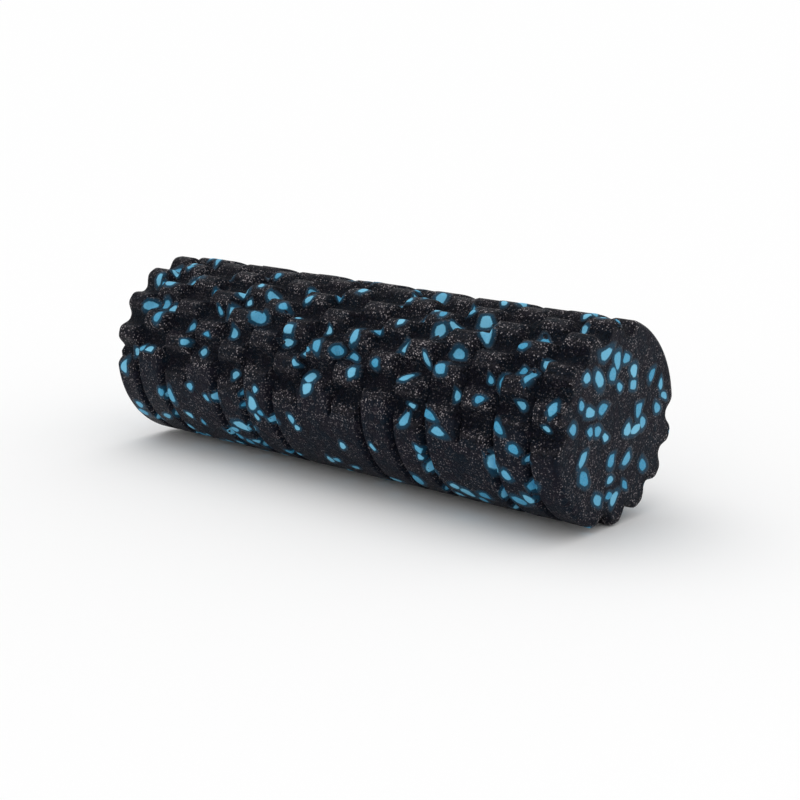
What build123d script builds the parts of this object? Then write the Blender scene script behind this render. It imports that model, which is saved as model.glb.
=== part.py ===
"""A solid foam massage roller, moulded in one piece from black foam with blue beads in it.

The roller lies on its side. Its axis runs along X at the height of its radius, and the origin is
under its middle, on the surface that it lies on. Rings of bumps stand side by side along the
axis. Each ring is smooth on two opposite sides, and every second ring is turned by half a bump,
so that the bumps alternate like the squares of a chessboard. Blue beads are moulded into the
foam. Each bead that reaches the surface is a solid of its own, cut flush with it, and it fills
its pocket in the body.

Angles are about the axis, in degrees, from the top of the roller towards its front (-Y).
"""

import os
from collections import namedtuple
from math import asin, cos, degrees, dist, hypot, pi, radians, sin, sqrt
from random import Random

from build123d import *

# Overall size
ROLLER_LENGTH = 300.0
ROLLER_DIAMETER = 100.0
RIM_ROUND = 3.0  # where the side turns into an end face

# Rings of bumps
RING_WIDTH = 20.5  # from one ring to the next along the axis
BUMP_ANGLE = 24.0  # from one bump to the next around the axis
BUMPS_PER_SIDE = 4  # on each textured side of a ring that isn't turned
FIRST_BUMP = 2.5  # angle of the first of those bumps
RELIEF = 5.7  # from the valley floor to the crest
CREST_WIDTH = 6.4  # flat top of a bump, measured around the axis
VALLEY_WIDTH = 4.7  # floor between two bumps, measured around the axis
CREST_CHAMFER = (1.1, 0.7)  # along the crest and down the flank

# Grooves between the rings
GROOVE_FLOOR = 1.0  # width of the groove's floor, along the axis
GROOVE_SLOPE = 2.0  # how far each side of the groove leans back, along the axis
GROOVE_DEPTH = 6.4
SMOOTH_EVERY = 4  # between the smooth sides, one groove in so many is left out

# Beads
BEAD_RADII = (1.7, 2.1, 2.5, 2.9)
BEAD_SINK = (0.3, 1.1)  # how deep a bead's centre lies under the surface
SIDE_BEADS = 350
BEADS_PER_END = 34
END_MIDDLE = 8.0  # radius around the axis where an end face has no beads, so that it stays plain
DOUBLE_SHARE = 0.22  # of the beads that are two grains stuck together
BEAD_CLEARANCE = 0.6
RANDOM_SEED = 11

OVERSHOOT = 1.0  # how far a shape that cuts another reaches past it
RIM_OVERSHOOT = RIM_ROUND / 4

# A ball's inward direction points from the surface that it lies under into the foam.
Ball = namedtuple("Ball", "x y z size inward")

radius = ROLLER_DIAMETER / 2
half_length = ROLLER_LENGTH / 2
floor_radius = radius - RELIEF
groove_radius = radius - GROOVE_DEPTH
crest_half_angle = degrees(asin(CREST_WIDTH / 2 / radius))
valley_half_angle = degrees(asin(VALLEY_WIDTH / 2 / floor_radius))
crest_edge_angle = BUMP_ANGLE / 2 - crest_half_angle  # from a valley's middle to the next crest

# The last ring at each end is between a half and one and a half times as wide as the others.
last_ring = int(half_length / RING_WIDTH - 1) + 1
last_ring_start = (last_ring - 0.5) * RING_WIDTH


def is_turned(ring):
    """Every second ring is turned back by half a bump. Ring 0 is the middle one."""
    return ring % 2 == 0


def valley_angles(ring):
    """Angles of the valleys of one textured side. The other side's are 180 degrees further."""
    first = FIRST_BUMP if is_turned(ring) else FIRST_BUMP - BUMP_ANGLE / 2
    count = BUMPS_PER_SIDE if is_turned(ring) else BUMPS_PER_SIDE + 1
    return [first + BUMP_ANGLE * step for step in range(count)]


def smooth_span(ring):
    """Angles where the smooth side of a ring starts and ends."""
    valleys = valley_angles(ring)
    return valleys[-1] + crest_edge_angle, valleys[0] + 180 - crest_edge_angle


def has_groove(boundary):
    """Is there a groove between the smooth sides at this boundary between two rings?"""
    return (boundary if boundary >= 0 else -1 - boundary) % SMOOTH_EVERY != 0


def around(distance, angle):
    """Coordinates (Y, Z) of the point at a distance from the axis and an angle."""
    return (-distance * sin(radians(angle)), distance * cos(radians(angle)))


def ring_ends(ring):
    """Where a ring starts and ends along X."""
    start = -half_length if ring == -last_ring else (ring - 0.5) * RING_WIDTH
    end = half_length if ring == last_ring else (ring + 0.5) * RING_WIDTH
    return start, end


def turned_blank(ring, grooved_left, grooved_right):
    """The ring without its valleys. It reaches past the ring's ends, which are cut flat later."""
    start, end = ring_ends(ring)
    outline = []
    for edge, outward, grooved in ((start, -1, grooved_left), (end, 1, grooved_right)):
        past = edge + outward * OVERSHOOT
        if abs(edge) > half_length - OVERSHOOT:
            side = [(edge + outward * RIM_OVERSHOOT, radius)]
        elif grooved:
            side = [
                (past, groove_radius),
                (edge - outward * GROOVE_FLOOR / 2, groove_radius),
                (edge - outward * (GROOVE_FLOOR / 2 + GROOVE_SLOPE), radius),
            ]
        else:
            side = [(past, radius)]
        side.insert(0, (side[0][0], 0))
        outline += side if outward < 0 else side[::-1]
    with BuildPart() as blank:
        with BuildSketch(Plane.XY) as section:
            with BuildLine():
                Polyline(*outline, close=True)
            make_face()
            rims = section.vertices().filter_by(
                lambda corner: abs(corner.X) > half_length and corner.Y > 1
            )
            if rims:
                fillet(rims, RIM_ROUND + RIM_OVERSHOOT)
        revolve(axis=Axis.X)
    return blank.part


def smooth_sector(ring):
    """A wedge on each smooth side that reaches past the ring's ends and its surface."""
    start, end = ring_ends(ring)
    first, last = smooth_span(ring)
    reach = 2 * radius
    with BuildPart() as sector:
        with BuildSketch(Plane.YZ.offset(start - OVERSHOOT)):
            for side in (0, 180):
                corners = [around(reach, side + angle) for angle in (first, (first + last) / 2, last)]
                with BuildLine():
                    Polyline((0, 0), *corners, close=True)
                make_face()
        extrude(amount=end - start + 2 * OVERSHOOT)
    return sector.part


def ring_blank(ring):
    """The ring with its grooves, which some smooth sides are without."""
    blank = turned_blank(ring, True, True)
    left, right = has_groove(ring - 1), has_groove(ring)
    if left and right:
        return blank
    with BuildPart() as filled:
        add(turned_blank(ring, left, right))
        add(smooth_sector(ring), mode=Mode.INTERSECT)
    with BuildPart() as joined:
        add(blank)
        add(filled.part)
    return joined.part


def valley_outline(middle):
    """Section of the valley at an angle, from beyond the crest on one side to the other."""
    top = radius + 2 * OVERSHOOT
    chamfer_width, chamfer_depth = CREST_CHAMFER
    crest = crest_edge_angle + degrees(chamfer_width / radius)
    slope = (crest_edge_angle - valley_half_angle) / RELIEF
    flank = crest_edge_angle - slope * chamfer_depth
    half = [
        (top, crest),
        (radius, crest),
        (radius - chamfer_depth, flank),
        (floor_radius, valley_half_angle),
    ]
    one_side = [around(distance, middle - angle) for distance, angle in half]
    other_side = [around(distance, middle + angle) for distance, angle in reversed(half)]
    return one_side + other_side


def lobed_ring(ring):
    """One finished ring of bumps, before the beads' pockets are cut."""
    start, end = ring_ends(ring)
    with BuildPart() as lobed:
        with BuildSketch(Plane.YZ.offset(start)):
            Circle(radius + OVERSHOOT)
            for valley in valley_angles(ring):
                for middle in (valley, valley + 180):
                    with BuildLine():
                        Polyline(*valley_outline(middle), close=True)
                    make_face(mode=Mode.SUBTRACT)
        extrude(amount=end - start)
        add(ring_blank(ring), mode=Mode.INTERSECT)
    return lobed.part


def ring_at(x):
    """Number of the ring that holds a place along the axis."""
    return max(-last_ring, min(last_ring, round(x / RING_WIDTH)))


def is_smooth(ring, angle):
    """Is this angle on one of the ring's smooth sides?"""
    first, last = smooth_span(ring)
    return first <= (angle - first) % 180 + first <= last


def nearest_boundary(x):
    """Number of the nearest boundary between rings. Boundary 0 is after ring 0."""
    return max(-last_ring, min(last_ring - 1, round(x / RING_WIDTH - 0.5)))


def groove_beside(x, angle):
    """The nearest boundary between rings along X, or None where it has no groove."""
    boundary = nearest_boundary(x)
    if has_groove(boundary) or not is_smooth(ring_at(x), angle):
        return (boundary + 0.5) * RING_WIDTH
    return None


def is_corner(x, angle, reach):
    """Does something of this reach lie where a smooth side meets the next ring's bumps?"""
    boundary = (nearest_boundary(x) + 0.5) * RING_WIDTH
    if abs(x - boundary) > reach:
        return False
    turn = degrees(reach / radius)
    sides = {
        is_smooth(ring_at(boundary + step), angle + lean)
        for step in (-1, 1)
        for lean in (-turn, 0, turn)
    }
    return len(sides) > 1


def surface_radius(x, angle):
    """Distance from the axis to the surface of the body."""
    ring = ring_at(x)
    height = radius
    if not is_smooth(ring, angle):
        gaps = [abs((angle - valley + 90) % 180 - 90) for valley in valley_angles(ring)]
        rise = (min(gaps) - valley_half_angle) / (crest_edge_angle - valley_half_angle)
        height = floor_radius + RELIEF * max(0, min(1, rise))
    groove = groove_beside(x, angle)
    if groove is not None:
        rise = (abs(x - groove) - GROOVE_FLOOR / 2) / GROOVE_SLOPE
        height = min(height, groove_radius + GROOVE_DEPTH * max(0, min(1, rise)))
    return height


def side_ball(x, angle, size, sink):
    """A ball just under the side's surface. One that would reach across a groove moves into it."""
    groove = groove_beside(x, angle)
    if groove is not None and abs(x - groove) < size + GROOVE_FLOOR:
        x = groove
    y, z = around(surface_radius(x, angle) - sink, angle)
    return Ball(x, y, z, size, (0, -y, -z))


def clear_of(ball, others, gap):
    """Is a ball at least this gap away from all the others?"""
    return all(
        dist(ball[:3], other[:3]) > ball.size + other.size + gap for other in others
    )


def second_grain(chance, size):
    """Offset from a bead's first grain to its second, or None for a bead of one grain."""
    lean = chance.uniform(0, 2 * pi)
    if chance.random() < DOUBLE_SHARE:
        return 1.3 * size * cos(lean), 1.3 * size * sin(lean)
    return None


def side_bead(chance):
    """A bead at a random place on the side, as one or two balls, and its angle.

    It has no balls where it would touch a corner between a smooth side and a bump."""
    x = chance.uniform(-half_length + RIM_ROUND / 2, half_length - RIM_ROUND / 2)
    angle = chance.uniform(0, 360)
    size, sink = chance.choice(BEAD_RADII), chance.uniform(*BEAD_SINK)
    offset = second_grain(chance, size)
    if is_corner(x, angle, size + GROOVE_FLOOR + (1.3 * size if offset else 0)):
        return [], angle
    balls = [side_ball(x, angle, size, sink)]
    if offset:
        x = max(-half_length + RIM_ROUND, min(half_length - RIM_ROUND, x + offset[0]))
        second = side_ball(x, angle + degrees(offset[1] / radius), size, sink)
        if not clear_of(second, balls, -size / 2):
            balls.append(second)
    return balls, angle


def end_bead(chance, side):
    """A bead at a random place on the left (-1) or the right (1) end face."""
    size, sink = chance.choice(BEAD_RADII[1:]), chance.uniform(*BEAD_SINK)
    limit = floor_radius - BEAD_RADII[-1]
    distance = sqrt(chance.uniform(END_MIDDLE**2, limit**2))
    y, z = around(distance, chance.uniform(0, 360))
    places = [(y, z)]
    offset = second_grain(chance, size)
    if offset and hypot(y + offset[0], z + offset[1]) < limit:
        places.append((y + offset[0], z + offset[1]))
    return [Ball(side * (half_length - sink), y, z, size, (-side, 0, 0)) for y, z in places]


def group_of(angle):
    """Name of the group of beads for an angle on the side."""
    first, last = smooth_span(1)
    turn = (angle - first) % 360
    if turn < last - first:
        return "blue_beads_front_side"
    if turn < 180:
        return "blue_beads_lower_bumps"
    if turn < 180 + last - first:
        return "blue_beads_back_side"
    return "blue_beads_upper_bumps"


def scatter_beads():
    """All the balls of the beads, as lists by group."""
    chance = Random(RANDOM_SEED)
    groups = {}
    placed = []

    def keep(balls, name):
        if balls and all(clear_of(ball, placed, BEAD_CLEARANCE) for ball in balls):
            placed.extend(balls)
            groups.setdefault(name, []).extend(balls)
            return 1
        return 0

    kept = 0
    while kept < SIDE_BEADS:
        balls, angle = side_bead(chance)
        kept += keep(balls, group_of(angle))
    for side, name in ((-1, "blue_beads_left_end"), (1, "blue_beads_right_end")):
        kept = 0
        while kept < BEADS_PER_END:
            kept += keep(end_bead(chance, side), name)
    return groups


def ball_plane(ball):
    """A plane at the ball's centre that turns the seam and the poles of its sphere inwards."""
    along = (0, 0, 1) if ball.inward[0] else (1, 0, 0)
    return Plane(origin=ball[:3], x_dir=ball.inward, z_dir=along)


def solid_balls(balls):
    """The balls as solids, with those that overlap joined."""
    with BuildPart() as solids:
        for size in sorted({ball.size for ball in balls}):
            with Locations(*[ball_plane(ball) for ball in balls if ball.size == size]):
                Sphere(size)
    return solids.part


def bead_pieces(ring_solid, balls):
    """What the balls and a ring have in common."""
    with BuildPart() as pieces:
        add(balls)
        add(ring_solid, mode=Mode.INTERSECT, clean=False)
    return pieces.part


def with_pockets(ring_solid, ball_groups):
    """The ring with the beads' pockets cut into it."""
    with BuildPart() as pocketed:
        add(ring_solid)
        add(ball_groups, mode=Mode.SUBTRACT, clean=False)
    return pocketed.part


os.makedirs("parts", exist_ok=True)
groups = scatter_beads()
rings = []
pieces = {name: [] for name in groups}
for ring in range(-last_ring, last_ring + 1):
    start, end = ring_ends(ring)
    ring_solid = lobed_ring(ring)
    ring_balls = []
    for name, balls in groups.items():
        near = [ball for ball in balls if start - ball.size < ball.x < end + ball.size]
        if near:
            solids = solid_balls(near)
            ring_balls.append(solids)
            pieces[name].append(bead_pieces(ring_solid, solids))
    rings.append(with_pockets(ring_solid, ring_balls))

with BuildPart() as foam_body:
    with Locations((0, 0, radius)):
        add(rings, clean=False)
foam_body.part.label = "foam_body"
export_step(foam_body.part, "parts/foam_body.step")

for name, parts in pieces.items():
    with BuildPart() as beads:
        with Locations((0, 0, radius)):
            add(parts, clean=False)
    beads.part.label = name
    export_step(beads.part, f"parts/{name}.step")
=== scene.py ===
# %% [markdown]
# # A moulded foam roller
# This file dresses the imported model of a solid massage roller. The real roller is steam-moulded
# from small foam beads, most of them black and some of them blue. Its skin has three scales: rings
# of bumps and grooves that a hand can feel, the outlines of the beads that the foam was pressed
# from, and a fine grain that the mould left. The first is modelled as a surface, the other two
# are made by the material.

# %% Load the frame
import math

import bpy
import numpy as np
from mathutils import Matrix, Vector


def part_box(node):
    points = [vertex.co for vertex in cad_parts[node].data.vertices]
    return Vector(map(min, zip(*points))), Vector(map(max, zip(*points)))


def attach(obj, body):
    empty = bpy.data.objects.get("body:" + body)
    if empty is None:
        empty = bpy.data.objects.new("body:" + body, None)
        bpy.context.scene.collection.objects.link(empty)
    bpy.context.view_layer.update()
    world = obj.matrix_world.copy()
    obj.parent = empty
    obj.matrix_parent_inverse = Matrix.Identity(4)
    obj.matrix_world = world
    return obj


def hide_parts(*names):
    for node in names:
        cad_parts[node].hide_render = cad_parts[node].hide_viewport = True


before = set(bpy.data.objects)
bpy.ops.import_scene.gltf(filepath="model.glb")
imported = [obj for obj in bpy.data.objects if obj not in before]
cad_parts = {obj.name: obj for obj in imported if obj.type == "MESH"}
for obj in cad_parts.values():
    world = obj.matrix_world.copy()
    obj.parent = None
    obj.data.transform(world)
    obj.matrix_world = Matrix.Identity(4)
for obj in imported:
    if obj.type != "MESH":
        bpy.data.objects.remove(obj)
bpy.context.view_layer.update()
MM = 0.001

low, high = (np.array(corner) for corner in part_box("foam_body"))
LENGTH = high[0] - low[0]
RADIUS = (high[2] - low[2]) / 2
AXIS_HEIGHT = (high[2] + low[2]) / 2
print("roller", round(LENGTH / MM, 1), "mm long, radius", round(RADIUS / MM, 1), "mm")

# %% [markdown]
# ## The pattern of bumps
# The mould has rings of bumps side by side along the axis. Each ring is smooth on two opposite
# sides, and every second ring is turned back by half a bump, which gives the chessboard look.
# Everything is measured in millimetres and in degrees about the axis, from the top towards the
# front, so that the numbers can be read off a drawing.

# %% Sizes of the pattern
RING_WIDTH = 20.5
BUMP_ANGLE = 24.0
BUMPS_PER_SIDE = 4
FIRST_BUMP = 2.5
RELIEF = 5.7
CREST_HALF_ANGLE = 3.67
VALLEY_HALF_ANGLE = 3.04
RIM_ROUND = 3.2
SMOOTH_EVERY = 4
LAST_RING = 7

# A slope starts at a distance from its ring's boundary and runs for a length. The roundings say
# how softly a slope, from 0 to 1, meets the flat parts at its two ends.
BUMP_END_START, BUMP_END_LENGTH, BUMP_END_ROUNDING = 0.3, 2.6, 0.5
GROOVE_START, GROOVE_LENGTH, GROOVE_ROUNDING = 0.4, 2.0, 0.4
FLANK_ROUNDING = 0.45
MEETING_ROUNDING = 0.12
FADE_ANGLE = 2.0

half_length = LENGTH / 2 / MM
radius = RADIUS / MM
crest_edge = BUMP_ANGLE / 2 - CREST_HALF_ANGLE
print("ring ends at", [round((k + 0.5) * RING_WIDTH, 2) for k in range(LAST_RING)])

# %% [markdown]
# ## One formula for the whole skin
# The body could be cut out of a cylinder with booleans, as its CAD model is, but foam has no sharp
# edge anywhere: every crest and every valley is rounded by the mould and by the foam's own give.
# So the skin is one function that gives the distance from the axis for a place along the roller
# and an angle. A smooth minimum and a smooth maximum round every edge of it at once.

# %% The skin's formula
def soft_min(a, b, rounding):
    """The smaller of two arrays, with the corner where they cross rounded off by a parabola."""
    blend = np.clip(0.5 + 0.5 * (b - a) / rounding, 0, 1)
    return b + (a - b) * blend - rounding * blend * (1 - blend)


def soft_ramp(value, rounding):
    """0 below 0, 1 above 1 and a straight line between, with both corners rounded."""
    return 1 - soft_min(1 - soft_min(value, 1.0, rounding), 1.0, rounding)


def ring_at(x):
    """Number of the ring at each place along the axis. The middle one is 0."""
    return np.clip(np.round(x / RING_WIDTH), -LAST_RING, LAST_RING)


def valley_gap(ring, angle):
    """Degrees to the nearest valley of the ring, and to its outermost valleys' far edges.

    Valleys repeat every bump angle, from the first one, and a textured side repeats after 180."""
    turned = ring % 2 == 0
    first = np.where(turned, FIRST_BUMP, FIRST_BUMP - BUMP_ANGLE / 2)
    count = np.where(turned, BUMPS_PER_SIDE, BUMPS_PER_SIDE + 1)
    step = (angle - first + BUMP_ANGLE / 2) % 180 - BUMP_ANGLE / 2
    nearest = np.clip(np.round(step / BUMP_ANGLE), 0, count - 1)
    gap = np.abs(step - nearest * BUMP_ANGLE)
    wrapped = np.abs(step - 180)
    return np.minimum(gap, wrapped)


def ring_boundary(x):
    """The nearest boundary between two rings, in millimetres, and its number from the middle."""
    number = np.clip(np.round(x / RING_WIDTH - 0.5), -LAST_RING, LAST_RING - 1)
    return (number + 0.5) * RING_WIDTH, np.where(number >= 0, number, -1 - number)


def skin_radius(x, angle):
    """Distance from the axis to the skin, in millimetres.

    The height of a bump is the smaller of two ramps: one that climbs from the nearest valley
    around the axis, and one that climbs from the nearest groove along it. Smooth sides only have
    the second, and it is left out at the boundaries that have no groove there."""
    ring = ring_at(x)
    gap = valley_gap(ring, angle)
    side = soft_ramp((gap - VALLEY_HALF_ANGLE) / (crest_edge - VALLEY_HALF_ANGLE), FLANK_ROUNDING)
    boundary, number = ring_boundary(x)
    away = np.abs(x - boundary)
    textured = smooth_weight(x, angle)
    bump_end = soft_ramp((away - BUMP_END_START) / BUMP_END_LENGTH, BUMP_END_ROUNDING)
    groove = soft_ramp((away - GROOVE_START) / GROOVE_LENGTH, GROOVE_ROUNDING)
    plain = np.where(number % SMOOTH_EVERY == 0, 1.0, groove)
    lengthwise = textured * bump_end + (1 - textured) * plain
    depth = RELIEF * (1 - soft_min(side, lengthwise, MEETING_ROUNDING))
    return radius - depth


def smooth_weight(x, angle):
    """1 among the bumps, 0 on the smooth sides, with a short fade between them."""
    gap = valley_gap(ring_at(x), angle)
    return np.clip((BUMP_ANGLE / 2 + FADE_ANGLE / 2 - gap) / FADE_ANGLE, 0, 1)


def crest_edges(x, angle):
    """1 where a bump's crest bends over into its flank, falling to 0 within two degrees.

    It is a bell curve of the degrees from that edge."""
    off = valley_gap(ring_at(x), angle) - crest_edge
    return np.exp(-(off**2)) * smooth_weight(x, angle)


probe = skin_radius(np.array([0.0, RING_WIDTH, RING_WIDTH / 2]), np.array([2.5, 2.5, 120.0]))
print("a valley, a crest and a ring's boundary are at", probe.round(2), "mm from the axis")

# %% [markdown]
# ## Where the mesh needs its lines
# A grid that is even everywhere would either blur the short slopes between the rings or spend most
# of its faces on the flat stretches. Grid lines are set by the shape instead: close together at
# the ends of each ring, where the skin drops into a groove, and further apart in its middle.
# Around the axis the bumps get a line for every degree and the smooth sides one for every 2.5.

# %% Grid lines
RING_STEPS = np.array([0.15, 0.5, 0.9, 1.3, 1.8, 2.3, 2.9, 3.7, 5.0, 6.7, 8.5])
FINE_STEP = 1.0
COARSE_STEP = 2.5
FINE_MARGIN = 3.0
RIM_STEPS = 6
CAP_RINGS = 12
CAP_CROWDING = 0.9


def lines_along():
    """Places along the axis between the two rims: every ring's steps from both of its ends."""
    ends = (np.arange(-LAST_RING, LAST_RING) + 0.5) * RING_WIDTH
    middles = np.arange(-LAST_RING + 1, LAST_RING) * RING_WIDTH
    inner = (ends[:, None] + np.concatenate([-RING_STEPS[::-1], RING_STEPS])).ravel()
    flat = half_length - RIM_ROUND
    outer = np.linspace(ends[-1] + RING_STEPS[-1], flat, 5)
    places = np.concatenate([inner, middles, outer, -outer])
    return np.unique(places[np.abs(places) <= flat].round(4))


def lines_around():
    """Angles for one turn: fine over the bumps and coarse over the smooth sides."""
    first = FIRST_BUMP + BUMP_ANGLE * (BUMPS_PER_SIDE - 0.5) + crest_edge
    last = FIRST_BUMP + 180 - BUMP_ANGLE / 2 - crest_edge
    first, last = first + FINE_MARGIN, last - FINE_MARGIN
    coarse = np.arange(first, last, COARSE_STEP)
    fine_count = int(round((180 - (last - first)) / FINE_STEP))
    fine = np.linspace(last, first + 180, fine_count, endpoint=False)
    half_turn = np.concatenate([coarse, fine])
    return np.concatenate([half_turn, half_turn + 180])


along, angles = lines_along(), lines_around()
print(len(along), "lines along the roller,", len(angles), "around it")

# %% [markdown]
# ## The foam body as one closed skin
# The side, the rounded rims and the flat end faces are one grid. Each row of it has a place along
# the axis, an inset towards the axis and a scale. Rows on the side have no inset. Rows on the rim
# follow a quarter circle. Rows on the end face shrink towards the middle, where one point closes
# it.

# %% Mesh helpers
def place_on_roller(x, distance, angle):
    """Points (x, y, z) in metres from millimetres along, millimetres out and degrees around."""
    turn = np.radians(angle)
    x, distance, turn = np.broadcast_arrays(x, distance, turn)
    y = -distance * np.sin(turn)
    z = distance * np.cos(turn)
    points = np.stack([x, y, z], axis=-1) * MM
    return points + np.array([0, 0, AXIS_HEIGHT])


def grid_faces(rows, columns):
    """Quads of a grid that closes on itself around, numbered row by row."""
    row, column = np.meshgrid(np.arange(rows - 1), np.arange(columns), indexing="ij")
    following = (column + 1) % columns
    a, b = row * columns + column, row * columns + following
    return np.stack([a, b, b + columns, a + columns], axis=-1).reshape(-1, 4)


def mesh_piece(name, points, faces, attributes=None):
    """A smooth-shaded mesh object at the origin, with its attributes by name."""
    mesh = bpy.data.meshes.new(name)
    mesh.from_pydata(points.reshape(-1, 3).tolist(), [], [list(face) for face in faces])
    mesh.update()
    mesh.polygons.foreach_set("use_smooth", np.ones(len(mesh.polygons), bool))
    for key, values in (attributes or {}).items():
        layer = mesh.attributes.new(key, "FLOAT", "POINT")
        layer.data.foreach_set("value", np.asarray(values, np.float32).ravel())
    piece = bpy.data.objects.new(name, mesh)
    bpy.context.scene.collection.objects.link(piece)
    return piece


# %% Build the foam body
def rim_inset(x):
    """How far the rounded rim draws the skin in at a place along the axis."""
    over = np.clip(np.abs(x) - (half_length - RIM_ROUND), 0, RIM_ROUND)
    return RIM_ROUND - np.sqrt(RIM_ROUND**2 - over**2)


def body_rows():
    """Place along the axis, inset and scale of every row, from the left end to the right one."""
    bend = np.linspace(0, np.pi / 2, RIM_STEPS + 1)[1:]
    rim_x = half_length - RIM_ROUND + RIM_ROUND * np.sin(bend)
    rim_in = RIM_ROUND * (1 - np.cos(bend))
    shrink = (1 - np.linspace(0, 1, CAP_RINGS + 1)[1:-1]) ** CAP_CROWDING
    end_x = np.concatenate([along, rim_x, np.full(len(shrink), half_length)])
    end_in = np.concatenate([np.zeros(len(along)), rim_in, np.full(len(shrink), RIM_ROUND)])
    end_scale = np.concatenate([np.ones(len(along) + len(rim_x)), shrink])
    tail = len(along)
    x = np.concatenate([-end_x[tail:][::-1], end_x])
    inset = np.concatenate([end_in[tail:][::-1], end_in])
    scale = np.concatenate([end_scale[tail:][::-1], end_scale])
    return x, inset, scale


def foam_body():
    """The closed skin: the grid of rows and angles, and one point in the middle of each end."""
    x, inset, scale = body_rows()
    x, turn = np.meshgrid(x, angles, indexing="ij")
    distance = (skin_radius(x, turn) - inset[:, None]) * scale[:, None]
    points = place_on_roller(x, distance, turn)
    textured = smooth_weight(x, turn) * (scale[:, None] == 1)
    # The depth attribute also tells the black foam where to paint shade in the valleys.
    depth = (radius - skin_radius(x, turn)) / RELIEF * (scale[:, None] == 1)
    # The crest attribute marks where the black foam paints a highlight along the crest edges.
    crest = crest_edges(x, turn) * (1 - depth) * (scale[:, None] == 1)
    rows, columns = x.shape
    poles = place_on_roller(np.array([-half_length, half_length]), 0.0, 0.0)
    left, right = rows * columns, rows * columns + 1
    column = np.arange(columns)
    following = (column + 1) % columns
    last = (rows - 1) * columns
    left_fan = np.stack([np.full(columns, left), following, column], axis=-1)
    right_fan = np.stack([last + column, last + following, np.full(columns, right)], axis=-1)
    faces = [*grid_faces(rows, columns), *left_fan, *right_fan]
    points = np.concatenate([points.reshape(-1, 3), poles])
    extra = {
        "textured": np.append(textured.ravel(), [0, 0]),
        "depth": np.append(depth.ravel(), [0, 0]),
        "crest": np.append(crest.ravel(), [0, 0]),
    }
    return mesh_piece("foam_roller_body", points, faces, extra)


body = foam_body()
print("body has", len(body.data.vertices), "points and", len(body.data.polygons), "faces")

# %% [markdown]
# ## The blue beads
# A blue bead in the real foam is a grain of a few millimetres that was pressed against the mould,
# so what shows of it is a small flat patch with a soft, slightly angular outline. Painting them as
# a pattern would put them in other places than the model's own beads. Instead, each solid bead in
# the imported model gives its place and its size, and a patch that follows the skin's formula is
# laid over it, crowned by a fraction of a millimetre, with its edge sunk into the foam.

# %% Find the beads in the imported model
MERGE_STEPS = 200  # points closer than this part of a millimetre are one point
SMALLEST_HALF = 0.5


def bead_clusters(node):
    """The node's points, merged, and the number of the bead that each belongs to.

    Every point takes the lowest number among its triangle's points, again and again, until each
    bead's points all share one number."""
    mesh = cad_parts[node].data
    mesh.calc_loop_triangles()
    corners = np.zeros(len(mesh.loop_triangles) * 3, np.int32)
    mesh.loop_triangles.foreach_get("vertices", corners)
    points = np.zeros(len(mesh.vertices) * 3)
    mesh.vertices.foreach_get("co", points)
    points = points.reshape(-1, 3)
    merged, which = np.unique(
        (points / MM * MERGE_STEPS).round(), axis=0, return_inverse=True
    )
    triangles = which.ravel()[corners].reshape(-1, 3)
    number = np.arange(len(merged))
    while True:
        lowest = number[triangles].min(axis=1)
        spread = number.copy()
        for corner in range(3):
            np.minimum.at(spread, triangles[:, corner], lowest)
        spread = spread[spread]
        if np.array_equal(spread, number):
            return merged / MERGE_STEPS, number
        number = spread


def bead_spots(node, flat):
    """Middle, half sizes and lean of every bead, in the plane that it shows in.

    On the side the plane is unrolled: along the axis, and around it. On an end face it is (y, z).
    The lean is the direction in which the bead's points spread the most."""
    points, number = bead_clusters(node)
    points[:, 2] -= AXIS_HEIGHT / MM
    spots = []
    for bead in np.unique(number):
        cluster = points[number == bead]
        middle = (cluster.max(0) + cluster.min(0)) / 2
        if flat:
            spread = cluster[:, 1:] - middle[1:]
            where = (middle[1], middle[2])
        else:
            turn = math.atan2(-middle[1], middle[2])
            across = np.array([-math.cos(turn), -math.sin(turn)])
            offset = cluster - middle
            spread = np.stack([offset[:, 0], offset[:, 1:] @ across], axis=1)
            where = (middle[0], math.degrees(turn))
        values, directions = np.linalg.eigh(np.cov(spread.T))
        reach = spread @ directions[:, ::-1]
        half = (reach.max(0) - reach.min(0)) / 2
        lean = math.atan2(directions[1, 1], directions[0, 1])
        if half.min() > SMALLEST_HALF:
            spots.append((*where, half[0], half[1], lean))
    return np.array(spots)


side_nodes = [
    "blue_beads_front_side",
    "blue_beads_back_side",
    "blue_beads_upper_bumps",
    "blue_beads_lower_bumps",
]
end_nodes = {"blue_beads_left_end": -1, "blue_beads_right_end": 1}
for node in side_nodes:
    spots = bead_spots(node, False)
    print(node, "has", len(spots), "beads, half sizes", spots[:, 2:4].mean(0).round(2), "mm")

# %% Lay a patch over every bead
PATCH_COLUMNS = 14
PATCH_REACH = np.array([2.15, 1.98, 1.5, 1.1, 0.9, 0.4])
PATCH_LIFT = np.array([-0.5, 0.03, 0.07, 0.12, 0.17, 0.21])
PATCH_EDGE = np.array([1.0, 0.95, 0.72, 0.42, 0.1, 0.0])
CROWN_LIFT, BACK_LIFT = 0.22, -1.0
CREST_REACH = 0.7
PATCH_SIDES = 6
SOFTNESS_POWER = 9
ROUND_LIMIT = 1.25  # a bead that is less than this many times as long as wide counts as round


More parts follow.
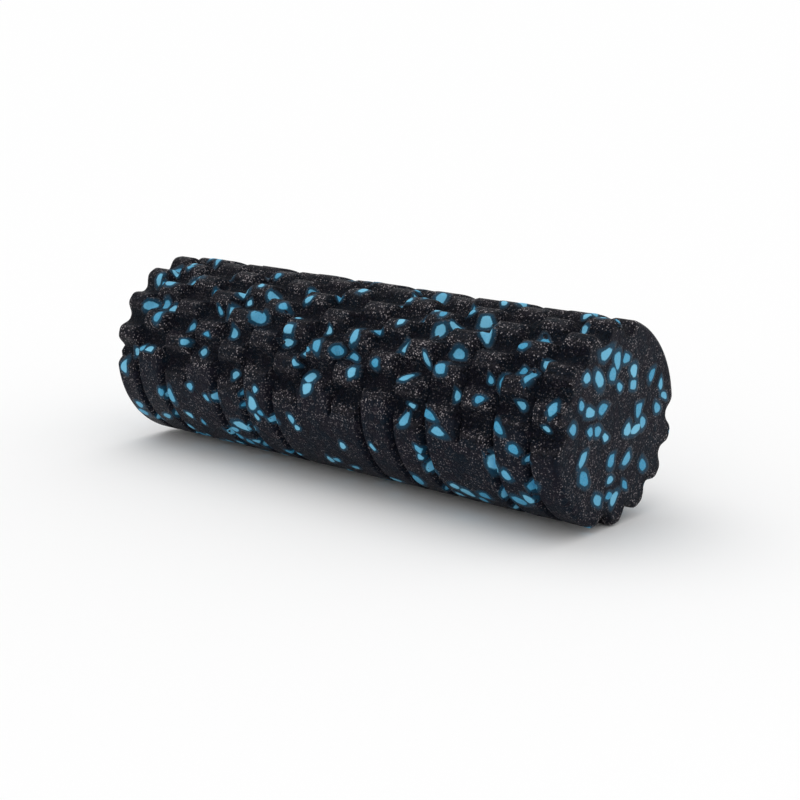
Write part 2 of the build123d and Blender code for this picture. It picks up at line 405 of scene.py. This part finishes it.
def patch_outline(count, chance):
    """Reach of each patch's outline in each direction, near 1.

    A side of a polygon at distance d, facing the direction f, cuts a ray of direction a at
    d / cos(a - f). The nearest cut of all sides gives the polygon. Here a high power's mean takes
    the place of the nearest, which softens the corners."""
    around = np.linspace(0, 2 * np.pi, PATCH_COLUMNS, endpoint=False)
    sides = np.arange(PATCH_SIDES) + chance.uniform(-0.35, 0.35, (count, PATCH_SIDES))
    facing = sides * 2 * np.pi / PATCH_SIDES + chance.uniform(0, 2 * np.pi, (count, 1))
    distance = chance.uniform(0.7, 1.15, (count, PATCH_SIDES))
    cut = np.maximum(np.cos(around - facing[:, :, None]), 0.02) / distance[:, :, None]
    outline = (cut**SOFTNESS_POWER).sum(axis=1) ** (-1 / SOFTNESS_POWER)
    return around, outline / outline.mean(axis=1, keepdims=True)


def patch_plane(spots, chance):
    """Place of every outline's points in the patch's own plane, in millimetres.

    Round beads get a random direction and are stretched a little along it. Long ones keep theirs
    and are bent like a comma."""
    around, outline = patch_outline(len(spots), chance)
    long, short, lean = (spots[:, k, None, None] for k in (2, 3, 4))
    is_round = long < ROUND_LIMIT * short
    stretch = np.where(is_round, chance.uniform(1.0, 1.3, long.shape), 1.0)
    lean = lean + np.where(is_round, chance.uniform(0, np.pi, long.shape), 0)
    bend = chance.uniform(-0.45, 0.45, long.shape) * (long / short - 1).clip(0, 1)
    reach = outline[:, None, :] * PATCH_REACH[None, :, None]
    along_lean = reach * np.cos(around) * long * stretch
    across_lean = reach * np.sin(around) * short / stretch
    across_lean = across_lean + bend * (along_lean**2 / long - long / 3)
    u = along_lean * np.cos(lean) - across_lean * np.sin(lean)
    v = along_lean * np.sin(lean) + across_lean * np.cos(lean)
    return u.reshape(len(spots), -1), v.reshape(len(spots), -1)


def bead_patches(name, spots, seed, to_points):
    """All the patches of one group as one mesh.

    A patch has a point in its middle and a few outlines, from the crown to the sunk edge. Another
    point under it closes the back."""
    chance = np.random.default_rng(seed)
    count, rows = len(spots), len(PATCH_REACH)
    u, v = patch_plane(spots, chance)
    nothing = np.zeros((count, 2))
    u, v = np.concatenate([u, nothing], axis=1), np.concatenate([v, nothing], axis=1)
    lift = np.concatenate([np.repeat(PATCH_LIFT, PATCH_COLUMNS), [CROWN_LIFT, BACK_LIFT]])
    points = to_points(spots[:, 0, None], spots[:, 1, None], u, v, lift[None, :])
    quads = grid_faces(rows, PATCH_COLUMNS)
    column = np.arange(PATCH_COLUMNS)
    following = (column + 1) % PATCH_COLUMNS
    crown, back = rows * PATCH_COLUMNS, rows * PATCH_COLUMNS + 1
    inner = (rows - 1) * PATCH_COLUMNS
    crowns, backs = np.full(PATCH_COLUMNS, crown), np.full(PATCH_COLUMNS, back)
    crown_fan = np.stack([inner + column, inner + following, crowns], axis=-1)
    back_fan = np.stack([following, column, backs], axis=-1)
    size = back + 1
    shift = np.arange(count)[:, None, None] * size
    faces = [
        *(quads[None] + shift).reshape(-1, 4),
        *(crown_fan[None] + shift).reshape(-1, 3),
        *(back_fan[None] + shift).reshape(-1, 3),
    ]
    edge = np.concatenate([np.repeat(PATCH_EDGE, PATCH_COLUMNS), [0.0, 1.0]])
    extra = {
        "edge": np.tile(edge, (count, 1)),
        "tone": np.repeat(chance.uniform(0, 1, (count, 1)), size, axis=1),
    }
    return mesh_piece(name, points, faces, extra)


def on_side(x, angle, u, v, lift):
    """Points over the side: the patch's plane is rolled around the axis and laid on the skin.

    Between its points a patch is flat, so a sharp crest could come through it. Each point that
    isn't sunk takes the mean of the skin's height under it and the greatest height beside it."""
    place = np.clip(x + u, -half_length, half_length)
    turn = angle + np.degrees(v / radius)
    under = skin_radius(place, turn)
    turn_reach = math.degrees(CREST_REACH / radius)
    steps = ((-CREST_REACH, 0), (CREST_REACH, 0), (0, -turn_reach), (0, turn_reach))
    beside = np.max([skin_radius(place + dx, turn + dturn) for dx, dturn in steps], axis=0)
    height = np.where(lift > 0, (under + np.maximum(beside, under)) / 2, under)
    return place_on_roller(place, height - rim_inset(place) + lift, turn)


def on_end(side):
    """Points over an end face, whose outside looks along -X (-1) or +X (1)."""

    def points(y, z, u, v, lift):
        x = side * (half_length + lift)
        x, across, up = np.broadcast_arrays(x, y + u * side, z + v)
        return np.stack([x, across, up], axis=-1) * MM + np.array([0, 0, AXIS_HEIGHT])

    return points


beads = []
for seed, node in enumerate(side_nodes):
    beads.append(bead_patches(node + "_foam", bead_spots(node, False), seed + 1, on_side))
    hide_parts(node)
for node, side in end_nodes.items():
    spots = bead_spots(node, True)
    spots[:, 4] *= side
    beads.append(bead_patches(node + "_foam", spots, 20 + side, on_end(side)))
    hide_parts(node)
print(sum(len(piece.data.polygons) for piece in beads), "faces in", len(beads), "groups of beads")
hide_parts("foam_body")

# %% [markdown]
# ## Two effects in the foam's finishes
# Both finishes are the same foam in two colours. The first effect is the faint outline of every
# pressed bead, a net of shallow creases, which a Voronoi pattern gives: the distance to its cell
# edges is zero on the creases. The second is the mould's fine grain, made by noise at two scales.
# Each effect is a node group: the black foam places both and the blue beads only the grain, each
# with its own values.

# %% Node helpers
def new_group(name, inputs, outputs):
    """An empty shader node group with float inputs (name, value) and outputs by name."""
    group = bpy.data.node_groups.new(name, "ShaderNodeTree")
    for key, value in inputs:
        socket = group.interface.new_socket(key, in_out="INPUT", socket_type="NodeSocketFloat")
        socket.default_value = value
    for key in outputs:
        group.interface.new_socket(key, in_out="OUTPUT", socket_type="NodeSocketFloat")
    return group


def add_node(tree, kind, **values):
    """A node of this kind, with its properties set by name and its inputs by _name or _number."""
    node = tree.nodes.new(kind)
    for key, value in values.items():
        if key.startswith("in_"):
            name = key[3:]
            node.inputs[int(name) if name.isdigit() else name].default_value = value
        else:
            setattr(node, key, value)
    return node


def ramp(tree, value, low, high, to_low=0.0, to_high=1.0):
    """Map Range from low..high to to_low..to_high, with a smooth step."""
    node = add_node(tree, "ShaderNodeMapRange", interpolation_type="SMOOTHSTEP")
    for key, number in zip((1, 2, 3, 4), (low, high, to_low, to_high)):
        node.inputs[key].default_value = number
    tree.links.new(value, node.inputs[0])
    return node.outputs[0]


def maths(tree, operation, a, b):
    """A Math node. Each of a and b is a socket or a number."""
    node = add_node(tree, "ShaderNodeMath", operation=operation)
    for slot, value in enumerate((a, b)):
        if hasattr(value, "is_output"):
            tree.links.new(value, node.inputs[slot])
        else:
            node.inputs[slot].default_value = value
    return node.outputs[0]


# %% Pressed beads: a net of shallow creases
BEADS = 230.0


def pressed_beads_group():
    """Height 0 in the creases and 1 on the beads, and a random tone for every bead."""
    group = new_group("pressed beads", [("Beads per metre", BEADS)], ["Height", "Tone"])
    start = group.nodes.new("NodeGroupInput")
    end = group.nodes.new("NodeGroupOutput")
    place = group.nodes.new("ShaderNodeTexCoord")
    edges = add_node(group, "ShaderNodeTexVoronoi", feature="DISTANCE_TO_EDGE")
    cells = add_node(group, "ShaderNodeTexVoronoi", feature="F1")
    for node in (edges, cells):
        group.links.new(place.outputs["Object"], node.inputs["Vector"])
        group.links.new(start.outputs["Beads per metre"], node.inputs["Scale"])
    group.links.new(ramp(group, edges.outputs["Distance"], 0.0, 0.16), end.inputs["Height"])
    split = add_node(group, "ShaderNodeSeparateColor")
    group.links.new(cells.outputs["Color"], split.inputs[0])
    group.links.new(split.outputs[0], end.inputs["Tone"])
    return group


# %% Mould grain: noise, and a few grains that glint
def mould_grain_group():
    """A height for the grain, and a mask of small dots where a grain stands out and shines.

    Each cell of a Voronoi pattern draws a random number. The higher it is, the brighter the dot
    that fades from the cell's middle. Wide noise gathers the dots into loose patches."""
    group = new_group("mould grain", [("Grains per metre", 1500.0)], ["Height", "Glint"])
    start = group.nodes.new("NodeGroupInput")
    end = group.nodes.new("NodeGroupOutput")
    place = group.nodes.new("ShaderNodeTexCoord")
    noise = add_node(group, "ShaderNodeTexNoise", in_Detail=2.0, in_Roughness=0.7)
    cells = add_node(group, "ShaderNodeTexVoronoi", feature="F1")
    wide = add_node(group, "ShaderNodeTexNoise", in_Scale=90.0, in_Detail=2.0)
    for node in (noise, cells, wide):
        group.links.new(place.outputs["Object"], node.inputs["Vector"])
    for node in (noise, cells):
        group.links.new(start.outputs["Grains per metre"], node.inputs["Scale"])
    split = add_node(group, "ShaderNodeSeparateColor")
    group.links.new(cells.outputs["Color"], split.inputs[0])
    gathered = ramp(group, wide.outputs["Fac"], 0.35, 0.65, -0.1, 0.08)
    chosen = ramp(group, maths(group, "ADD", split.outputs[1], gathered), 0.35, 1.15)
    dot = ramp(group, cells.outputs["Distance"], 0.15, 0.7, 1.0, 0.0)
    group.links.new(noise.outputs["Fac"], end.inputs["Height"])
    glint = maths(group, "MULTIPLY", maths(group, "POWER", chosen, 3.0), dot)
    group.links.new(glint, end.inputs["Glint"])
    return group


pressed_beads, mould_grain = pressed_beads_group(), mould_grain_group()
print("node groups:", [group.name for group in bpy.data.node_groups])


# %% [markdown]
# ## The black foam
# Black foam is never quite black: its skin is a closed film over air cells, so it catches a soft
# highlight, and its colour drifts a little from bead to bead. The bumps came from a grainy part of
# the mould and the smooth sides from a polished one, so the grain is stronger where the body's
# "textured" attribute says so.

# %% Black foam material
GRAINS = 1350.0
COOL_BLACK = (0.0034, 0.0092, 0.0182, 1)
WARM_BLACK = (0.0102, 0.0092, 0.0168, 1)
CREASE_AND_SHADE_BLACK = (0.0008, 0.0012, 0.0020, 1)
CREST_HIGHLIGHT_COLOUR = (0.050, 0.045, 0.050, 1)
GLINT_COLOUR = (0.62, 0.56, 0.58, 1)


def new_material(name):
    """A material with only a Principled BSDF and an output, and its tree."""
    material = bpy.data.materials.new(name)
    material.use_nodes = True
    tree = material.node_tree
    return material, tree, tree.nodes["Principled BSDF"]


def place_group(tree, group, value):
    """A node group placed in a material, with its one input set."""
    node = tree.nodes.new("ShaderNodeGroup")
    node.node_tree = group
    node.inputs[0].default_value = value
    return node


def mix_colours(tree, factor, one, other):
    """A colour mix. The factor is a socket, and each colour a socket or four numbers."""
    node = add_node(tree, "ShaderNodeMix", data_type="RGBA")
    tree.links.new(factor, node.inputs["Factor"])
    for key, value in ((6, one), (7, other)):
        if hasattr(value, "is_output"):
            tree.links.new(value, node.inputs[key])
        else:
            node.inputs[key].default_value = value
    return node.outputs[2]


def bump(tree, height, depth, strength, under=None):
    """A Bump node for a height of 0 to 1 over a depth in metres, on top of another normal."""
    node = add_node(tree, "ShaderNodeBump", in_Strength=strength, in_Distance=depth)
    tree.links.new(height, node.inputs["Height"])
    if under is not None:
        tree.links.new(under, node.inputs["Normal"])
    return node.outputs["Normal"]


def black_foam():
    """Near-black foam: creases between the beads, a tone for each bead and the mould's grain,
    plus painted shade in the valleys and a painted highlight along the crest edges.
    """
    material, tree, shader = new_material("black bead foam")
    net = place_group(tree, pressed_beads, BEADS)
    grain = place_group(tree, mould_grain, GRAINS)
    textured, depth, crest = (
        add_node(tree, "ShaderNodeAttribute", attribute_name=name).outputs["Fac"]
        for name in ("textured", "depth", "crest")
    )
    lively = maths(tree, "ADD", maths(tree, "MULTIPLY", textured, 0.55), 0.45)
    colour = mix_colours(tree, net.outputs["Tone"], COOL_BLACK, WARM_BLACK)
    crease = maths(tree, "MULTIPLY", maths(tree, "SUBTRACT", 1.0, net.outputs["Height"]), 0.35)
    pits = maths(tree, "MULTIPLY", ramp(tree, grain.outputs["Height"], 0.56, 0.38), lively)
    # Painted shade: the colour darkens towards the bottom of the valleys and grooves, by the depth
    # attribute, on top of the dark creases between the beads.
    crease_and_valley_shade = maths(tree, "MAXIMUM", crease, ramp(tree, depth, 0.4, 1.2, 0.0, 0.35))
    colour = mix_colours(tree, maths(tree, "MAXIMUM", crease_and_valley_shade, pits), colour, CREASE_AND_SHADE_BLACK)
    # Painted highlight: along the crest edges the colour turns a lighter grey, where light from
    # above catches the bumps.
    crest_highlight_and_teal_fringe = maths(tree, "MULTIPLY", crest, ramp(tree, grain.outputs["Height"], 0.4, 0.6, 0.15, 0.6))
    colour = mix_colours(tree, crest_highlight_and_teal_fringe, colour, CREST_HIGHLIGHT_COLOUR)
    # Painted shade: the glints fade towards the bottom of the valleys.
    shown = maths(tree, "MULTIPLY", lively, ramp(tree, depth, 0.2, 1.0, 1.0, 0.25))
    glint = maths(tree, "MULTIPLY", grain.outputs["Glint"], shown)
    colour = mix_colours(tree, glint, colour, GLINT_COLOUR)
    tree.links.new(colour, shader.inputs["Base Color"])
    rough = maths(tree, "SUBTRACT", 0.5, maths(tree, "MULTIPLY", glint, 0.2))
    tree.links.new(rough, shader.inputs["Roughness"])
    shader.inputs["Specular IOR Level"].default_value = 0.06
    creased = bump(tree, net.outputs["Height"], 0.0004, 0.4)
    grain_height = maths(tree, "MULTIPLY", grain.outputs["Height"], lively)
    normal = bump(tree, grain_height, 0.0011, 1.0, creased)
    tree.links.new(normal, shader.inputs["Normal"])
    return material


body.data.materials.append(black_foam())
print("black foam has", len(body.data.materials[0].node_tree.nodes), "nodes")

# %% [markdown]
# ## The blue beads
# A bead is brightest in its middle. Towards its edge the black beads around it shade it and stain
# it, so its colour falls to a dark teal there, which the patch's "edge" attribute gives. Each bead
# also has a tone of its own, from a deeper blue to a pale cyan.

# %% Blue foam material
DEEP_BLUE = (0.025, 0.28, 0.50, 1)
PALE_BLUE = (0.19, 0.56, 0.79, 1)
MOTTLE_BLUE = (0.28, 0.63, 0.82, 1)
DARK_TEAL = (0.001, 0.036, 0.072, 1)
OUTER_BLACK = (0.004, 0.009, 0.017, 1)
DULL_GLINT = (0.42, 0.39, 0.41, 1)


def blue_foam():
    """Sky-blue foam, paler or deeper from bead to bead. It ends in dark teal, then in black."""
    material, tree, shader = new_material("blue bead foam")
    grain = place_group(tree, mould_grain, GRAINS)
    tone = add_node(tree, "ShaderNodeAttribute", attribute_name="tone").outputs["Fac"]
    edge = add_node(tree, "ShaderNodeAttribute", attribute_name="edge").outputs["Fac"]
    colour = mix_colours(tree, tone, DEEP_BLUE, PALE_BLUE)
    mottle = ramp(tree, grain.outputs["Height"], 0.3, 0.7)
    colour = mix_colours(tree, maths(tree, "MULTIPLY", mottle, 0.25), colour, MOTTLE_BLUE)
    crest_highlight_and_teal_fringe = maths(tree, "ADD", edge, maths(tree, "MULTIPLY", mottle, 0.12))
    colour = mix_colours(tree, ramp(tree, crest_highlight_and_teal_fringe, 0.12, 0.55), colour, DARK_TEAL)
    colour = mix_colours(tree, ramp(tree, edge, 0.64, 0.97), colour, OUTER_BLACK)
    glint = maths(tree, "MULTIPLY", grain.outputs["Glint"], ramp(tree, edge, 0.5, 1.0, 0.0, 0.7))
    colour = mix_colours(tree, glint, colour, DULL_GLINT)
    tree.links.new(colour, shader.inputs["Base Color"])
    shader.inputs["Roughness"].default_value = 0.5
    shader.inputs["Specular IOR Level"].default_value = 0.15
    tree.links.new(bump(tree, grain.outputs["Height"], 0.0006, 0.8), shader.inputs["Normal"])
    return material


blue = blue_foam()
for piece in beads:
    piece.data.materials.append(blue)
    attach(piece, "root")
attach(body, "root")
print("blue foam on", len(beads), "groups of beads")

# %% [markdown]
# ## Floor, light and camera
# The roller lies on a plain white floor. A very soft sun, nearly overhead, lights the crests
# of the bumps, a weak lamp at the right picks out the end face, and an even sky fills the
# shadows. The floor reaches so far that it meets the sky without a visible line. The
# camera stands at the roller's right front, a little above it.

# %% Floor
def pale_floor():
    """A flat square floor, far wider than the view."""
    reach = 40.0
    corners = reach * np.array([[-1, -1, 0], [1, -1, 0], [1, 1, 0], [-1, 1, 0]])
    floor = mesh_piece("floor", corners, [(0, 1, 2, 3)])
    material, tree, shader = new_material("pale floor")
    shader.inputs["Base Color"].default_value = (0.965, 0.965, 0.965, 1)
    shader.inputs["Roughness"].default_value = 0.9
    shader.inputs["Specular IOR Level"].default_value = 0.0
    floor.data.materials.append(material)
    return floor


pale_floor()


# %% Lights
def aim(thing, place, target):
    """Put a light or a camera at a place, looking at the target with no roll."""
    forward = np.subtract(target, place)
    forward = forward / np.linalg.norm(forward)
    right = np.cross(forward, (0, 0, 1))
    right = right / np.linalg.norm(right)
    up = np.cross(right, forward)
    matrix = np.eye(4)
    matrix[:3, 0], matrix[:3, 1], matrix[:3, 2], matrix[:3, 3] = right, up, -forward, place
    thing.matrix_world = Matrix(matrix.tolist())


def add_lamp(name, kind, place, power, **settings):
    """A lamp at a place, turned to face the middle of the roller."""
    lamp = bpy.data.lights.new(name, kind)
    lamp.energy = power
    for key, value in settings.items():
        setattr(lamp, key, value)
    light = bpy.data.objects.new(name, lamp)
    bpy.context.scene.collection.objects.link(light)
    aim(light, place, (0, 0, AXIS_HEIGHT))
    return light


def even_sky(lighting, seen):
    """A white sky with one strength as a light and another as a background."""
    sky = bpy.data.worlds.new("sky")
    sky.use_nodes = True
    tree = sky.node_tree
    path = tree.nodes.new("ShaderNodeLightPath")
    background = tree.nodes["Background"]
    background.inputs["Color"].default_value = (1, 1, 1, 1)
    strength = add_node(tree, "ShaderNodeMapRange")
    strength.inputs["To Min"].default_value = lighting
    strength.inputs["To Max"].default_value = seen
    tree.links.new(path.outputs["Is Camera Ray"], strength.inputs["Value"])
    tree.links.new(strength.outputs[0], background.inputs["Strength"])
    bpy.context.scene.world = sky


even_sky(0.82, 1.05)
add_lamp("soft sun", "SUN", (-0.35, 0.1, 1.1), 0.7, angle=math.radians(60))
add_lamp("end light", "AREA", (1.1, -0.5, 0.5), 0.15, shape="SQUARE", size=0.6)

# %% Camera
CAMERA_PLACE = (0.58408, -0.66002, 0.24995)
CAMERA_AZIMUTH = 40.715
CAMERA_PITCH = 13.493
LENS = 77.82

camera_data = bpy.data.cameras.new("camera")
camera_data.lens = LENS
camera_data.sensor_width = 36.0
camera = bpy.data.objects.new("camera", camera_data)
bpy.context.scene.collection.objects.link(camera)
turn, pitch = math.radians(CAMERA_AZIMUTH), math.radians(CAMERA_PITCH)
forward = (-math.cos(pitch) * math.sin(turn), math.cos(pitch) * math.cos(turn), -math.sin(pitch))
aim(camera, CAMERA_PLACE, np.add(CAMERA_PLACE, forward))
bpy.context.scene.camera = camera
bpy.context.scene.view_settings.view_transform = "Standard"
print("camera looks along", np.round(forward, 4))
